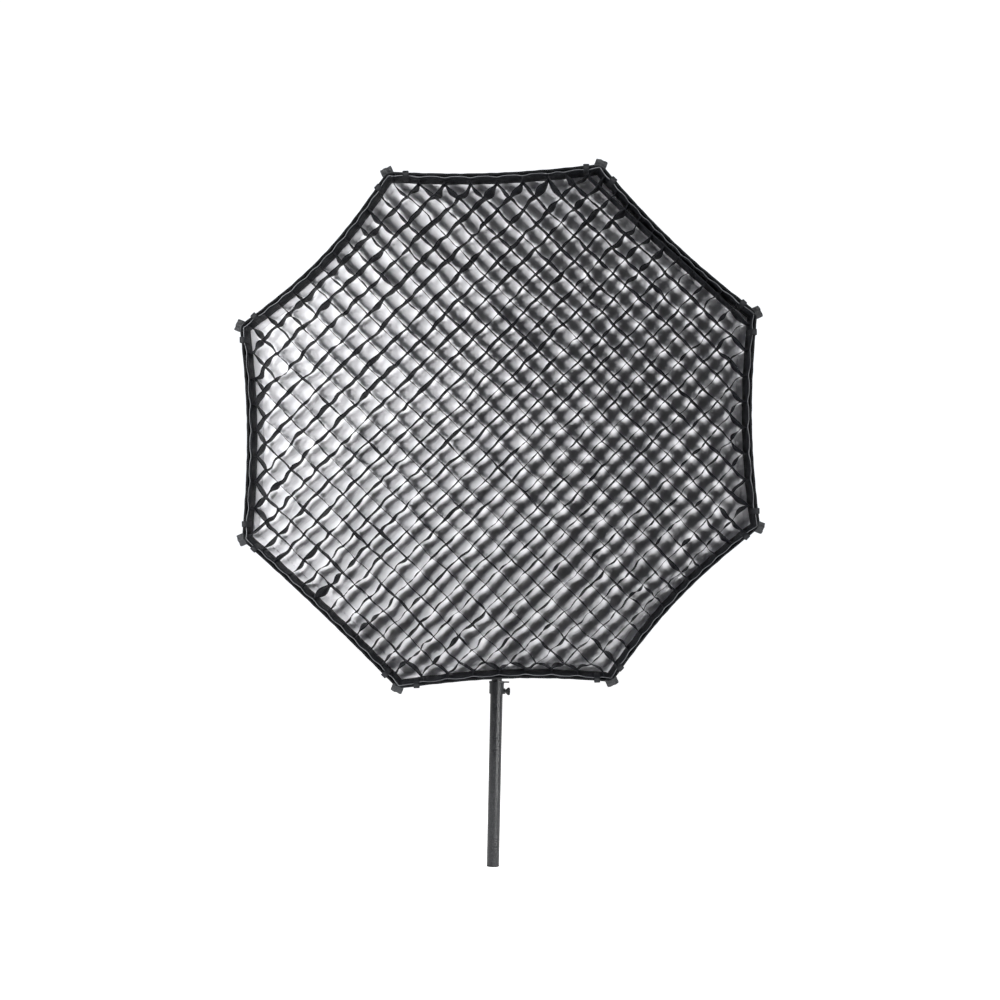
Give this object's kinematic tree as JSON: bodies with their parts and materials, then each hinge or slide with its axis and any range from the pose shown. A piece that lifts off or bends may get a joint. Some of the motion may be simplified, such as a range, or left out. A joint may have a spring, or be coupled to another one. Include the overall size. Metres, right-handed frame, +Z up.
{
  "type": "studio softbox",
  "caption": "Octagonal studio softbox with a fabric grid and white diffusers on bowed rods, on a tilting cold-shoe bracket and the telescopic top of a light stand.",
  "frame": {"origin": "centre of the underside of the foot plug at the bottom of the lower tube", "axes": "+Z up along the pole; the softbox faces -Y; +X is to the right seen from the front"},
  "size_m": [1.137, 0.575, 1.5993],
  "materials": {
    "stand_tube": "black anodised, satin",
    "cast_black": "black powder-coated casting",
    "steel": "turned and satin plated",
    "black_plastic": "fine-textured moulded nylon",
    "rod": "pultruded glass fibre, satin",
    "black_nylon": "black coated nylon cloth",
    "silver_cloth": "silver-coated lining cloth",
    "white_cloth": "white translucent diffuser cloth",
    "grid_cloth": "black cloth ribbon"
  },
  "bodies": {
    "pole": {"lower_tube": "stand_tube", "foot_plug": "black_plastic", "clamp_collar": "cast_black", "collar_bush": "black_plastic"},
    "collar_knob": {"collar_knob": "black_plastic"},
    "riser": {"upper_tube": "stand_tube", "tube_glide": "black_plastic", "spigot": "steel"},
    "swivel": {"swivel_socket": "cast_black"},
    "socket_knob": {"socket_knob": "black_plastic"},
    "bracket": {"bracket_frame": "cast_black", "tilt_bolt": "steel", "bayonet_ring": "steel", "bayonet_screw_1": "steel", "bayonet_screw_2": "steel", "bayonet_screw_3": "steel", "bayonet_insert": "steel", "retaining_ring": "steel"},
    "tilt_lever": {"tilt_lever": "black_plastic"},
    "release_latch": {"release_latch": "steel"},
    "shoe": {"shoe_carriage": "cast_black"},
    "shoe_knob": {"shoe_knob": "black_plastic"},
    "softbox": {"speed_ring": "cast_black", "rod_1": "rod", "rod_2": "rod", "rod_3": "rod", "rod_4": "rod", "rod_5": "rod", "rod_6": "rod", "rod_7": "rod", "rod_8": "rod", "outer_shell": "black_nylon", "silver_lining": "silver_cloth", "rear_collar": "black_nylon", "front_lip": "black_nylon", "front_hem": "black_nylon", "corner_pocket_1": "black_nylon", "corner_pocket_2": "black_nylon", "corner_pocket_3": "black_nylon", "corner_pocket_4": "black_nylon", "corner_pocket_5": "black_nylon", "corner_pocket_6": "black_nylon", "corner_pocket_7": "black_nylon", "corner_pocket_8": "black_nylon", "inner_baffle": "white_cloth", "baffle_strap_1": "black_nylon", "baffle_strap_2": "black_nylon", "baffle_strap_3": "black_nylon", "baffle_strap_4": "black_nylon", "baffle_strap_5": "black_nylon", "baffle_strap_6": "black_nylon", "baffle_strap_7": "black_nylon", "baffle_strap_8": "black_nylon", "front_diffuser": "white_cloth", "fabric_grid": "grid_cloth"},
    "ring_screw_1": {"ring_screw_1": "steel"},
    "ring_screw_2": {"ring_screw_2": "steel"}
  },
  "joints": [
    {"name": "collar_knob_turn", "type": "hinge", "parent": "pole", "child": "collar_knob", "pos_m": [0.02, 0, 0.417], "axis": [1, 0, 0], "range_deg": [0, 270]},
    {"name": "riser_slide", "type": "slide", "parent": "pole", "child": "riser", "axis": [0, 0, 1], "range_m": [-0.25, 0.1]},
    {"name": "pan", "type": "hinge", "parent": "riser", "child": "swivel", "pos_m": [0, 0, 0.85], "axis": [0, 0, 1], "continuous": true},
    {"name": "socket_knob_turn", "type": "hinge", "parent": "swivel", "child": "socket_knob", "pos_m": [-0.02, 0, 0.856], "axis": [-1, 0, 0], "range_deg": [0, 270]},
    {"name": "tilt", "type": "hinge", "parent": "swivel", "child": "bracket", "pos_m": [0, 0, 0.916], "axis": [1, 0, 0], "range_deg": [-60, 30]},
    {"name": "tilt_lever_turn", "type": "hinge", "parent": "bracket", "child": "tilt_lever", "pos_m": [0.02, 0, 0.916], "axis": [1, 0, 0], "range_deg": [-60, 70]},
    {"name": "latch_press", "type": "hinge", "parent": "bracket", "child": "release_latch", "pos_m": [-0.071, -0.0276, 1.026], "axis": [0, 1, 0], "range_deg": [0, 18], "stiffness_Nm_per_rad": 0.03, "springref_deg": -22.92},
    {"name": "shoe_slide", "type": "slide", "parent": "bracket", "child": "shoe", "axis": [0, 1, 0], "range_m": [0, 0.028]},
    {"name": "shoe_knob_turn", "type": "hinge", "parent": "shoe", "child": "shoe_knob", "pos_m": [0, 0.04, 0.945], "axis": [0, 0, -1], "range_deg": [0, 360]},
    {"name": "softbox_spin", "type": "hinge", "parent": "bracket", "child": "softbox", "pos_m": [0, -0.061, 1.026], "axis": [0, -1, 0], "continuous": true},
    {"name": "ring_screw_1_turn", "type": "hinge", "parent": "softbox", "child": "ring_screw_1", "pos_m": [-0.00349, -0.0612, 1.10592], "axis": [-0.0436, 0, 0.999], "range_deg": [0, 360]},
    {"name": "ring_screw_2_turn", "type": "hinge", "parent": "softbox", "child": "ring_screw_2", "pos_m": [0.00349, -0.0612, 0.94608], "axis": [0.0436, 0, -0.999], "range_deg": [0, 360]}
  ]
}
